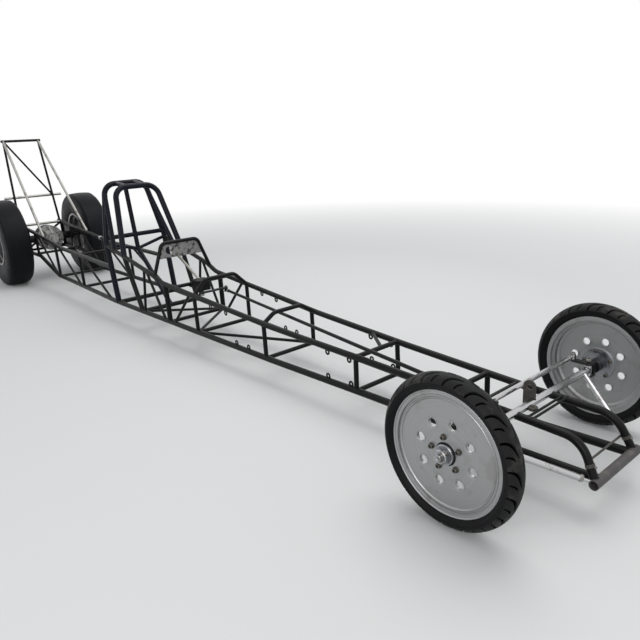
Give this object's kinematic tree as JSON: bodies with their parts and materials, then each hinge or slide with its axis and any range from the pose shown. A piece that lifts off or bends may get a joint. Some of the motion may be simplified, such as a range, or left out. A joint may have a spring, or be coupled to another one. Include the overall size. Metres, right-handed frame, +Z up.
{
  "type": "drag racing car rolling chassis",
  "caption": "Rear-engined drag racing car as a bare tube-frame rolling chassis, with roll cage, wing stand, steered front wheels and wide rear slicks.",
  "frame": {"origin": "on the ground, at the middle of the car's outline", "axes": "+X forward, +Y to the driver's left, +Z up"},
  "size_m": [6.5079, 1.202, 1.4055],
  "materials": {
    "frame_paint": "satin",
    "cage_paint": "satin",
    "panel_sheet": "mottled matt",
    "bright_rod": "polished",
    "housing_paint": "satin",
    "cast_aluminium": "cast",
    "dark_steel": "machined",
    "hub_black": "satin",
    "spun_aluminium": "spun satin",
    "front_rubber": "matt",
    "slick_rubber": "worn smooth"
  },
  "bodies": {
    "chassis": {"lower_rail_right": "frame_paint", "lower_rail_left": "frame_paint", "upper_rail_right": "frame_paint", "upper_rail_left": "frame_paint", "bay_rail_right": "frame_paint", "bay_rail_left": "frame_paint", "nose_tube": "frame_paint", "side_posts_right": "frame_paint", "side_posts_left": "frame_paint", "side_braces_right": "frame_paint", "side_braces_left": "frame_paint", "bay_posts_right": "frame_paint", "bay_posts_left": "frame_paint", "belly_tubes": "frame_paint", "top_tubes": "frame_paint", "rear_cross_tubes": "frame_paint", "axle_plates": "frame_paint", "axle_tab": "frame_paint", "wing_frame": "frame_paint", "dash_hoop": "frame_paint", "rear_hoop": "cage_paint", "front_hoop": "cage_paint", "cage_bars": "cage_paint", "dash_panel": "panel_sheet", "front_axle": "bright_rod", "radius_rods": "bright_rod", "steering_shaft": "bright_rod", "wing_struts": "bright_rod", "axle_housing": "housing_paint", "pinion_carrier": "cast_aluminium", "steering_box": "cast_aluminium"},
    "spindle_right": {"spindle_right": "dark_steel"},
    "front_wheel_right": {"front_hub_right": "hub_black", "front_rim_right": "spun_aluminium", "front_tyre_right": "front_rubber"},
    "spindle_left": {"spindle_left": "dark_steel"},
    "front_wheel_left": {"front_hub_left": "hub_black", "front_rim_left": "spun_aluminium", "front_tyre_left": "front_rubber"},
    "tie_rod": {"tie_rod": "bright_rod"},
    "drag_link": {"drag_link": "dark_steel"},
    "pitman_arm": {"pitman_arm": "dark_steel"},
    "rear_axle": {"rear_axle_shaft": "dark_steel", "rear_rim_right": "spun_aluminium", "rear_tyre_right": "slick_rubber", "rear_rim_left": "spun_aluminium", "rear_tyre_left": "slick_rubber"}
  },
  "joints": [
    {"name": "steer_right", "type": "hinge", "parent": "chassis", "child": "spindle_right", "pos_m": [2.885, -0.455, 0.288], "axis": [0, 0, 1], "range_deg": [-20, 20]},
    {"name": "steer_left", "type": "hinge", "parent": "chassis", "child": "spindle_left", "pos_m": [2.885, 0.455, 0.288], "axis": [0, 0, 1], "range_deg": [-20, 20]},
    {"name": "tie_rod_turn", "type": "hinge", "parent": "spindle_right", "child": "tie_rod", "pos_m": [2.81, -0.455, 0.3326], "axis": [0, 0, 1], "range_deg": [-20, 20]},
    {"name": "drag_link_turn", "type": "hinge", "parent": "spindle_right", "child": "drag_link", "pos_m": [2.885, -0.27, 0.3743], "axis": [0, 0, 1], "range_deg": [-20, 20]},
    {"name": "pitman_turn", "type": "hinge", "parent": "chassis", "child": "pitman_arm", "pos_m": [0.415, -0.057, 0.35], "axis": [0, 0, 1], "range_deg": [-20, 20]},
    {"name": "front_spin_right", "type": "hinge", "parent": "spindle_right", "child": "front_wheel_right", "pos_m": [2.885, -0.535, 0.288], "axis": [0, 1, 0], "continuous": true},
    {"name": "front_spin_left", "type": "hinge", "parent": "spindle_left", "child": "front_wheel_left", "pos_m": [2.885, 0.535, 0.288], "axis": [0, 1, 0], "continuous": true},
    {"name": "rear_axle_spin", "type": "hinge", "parent": "chassis", "child": "rear_axle", "pos_m": [-2.835, 0, 0.419], "axis": [0, 1, 0], "continuous": true}
  ],
  "couplings": [
    {"joint": "steer_left", "follows": "steer_right", "ratio": 1},
    {"joint": "tie_rod_turn", "follows": "steer_right", "ratio": -1},
    {"joint": "drag_link_turn", "follows": "steer_right", "ratio": -1},
    {"joint": "pitman_turn", "follows": "steer_right", "ratio": 1}
  ]
}
